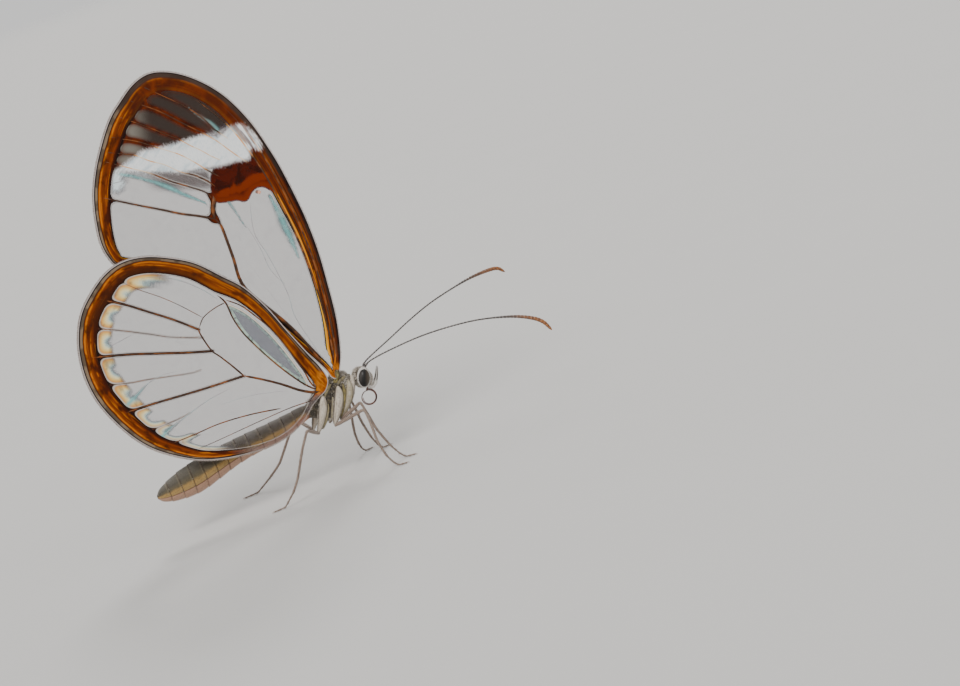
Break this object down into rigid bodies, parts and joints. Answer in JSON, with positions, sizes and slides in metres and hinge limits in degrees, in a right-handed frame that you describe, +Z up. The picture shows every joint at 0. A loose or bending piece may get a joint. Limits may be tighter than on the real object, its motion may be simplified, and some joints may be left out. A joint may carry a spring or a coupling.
{
  "type": "glasswing butterfly",
  "caption": "Life-size glasswing butterfly standing with its clear, amber-bordered wings closed over its back, feelers forward, as a still display model.",
  "frame": {"origin": "on the surface that the feet stand on, under the middle of the whole butterfly's box", "axes": "+X towards the head, +Y towards the butterfly's left side, across the closed wings, +Z up"},
  "size_m": [0.0357, 0.0118, 0.0353],
  "materials": {
    "wing": "gloss",
    "body": "matte",
    "eye": "gloss",
    "leg": "satin",
    "antenna": "satin",
    "mouth": "matte"
  },
  "bodies": {
    "root": {"abdomen": "body", "antenna_left": "antenna", "antenna_right": "antenna", "eye_left": "eye", "eye_right": "eye", "forewing_left": "wing", "forewing_right": "wing", "head": "body", "hindwing_left": "wing", "hindwing_right": "wing", "leg_fore_left": "leg", "leg_fore_right": "leg", "leg_hind_left": "leg", "leg_hind_right": "leg", "leg_mid_left": "leg", "leg_mid_right": "leg", "palp_left": "mouth", "palp_right": "mouth", "proboscis": "mouth", "thorax": "body"}
  },
  "joints": []
}
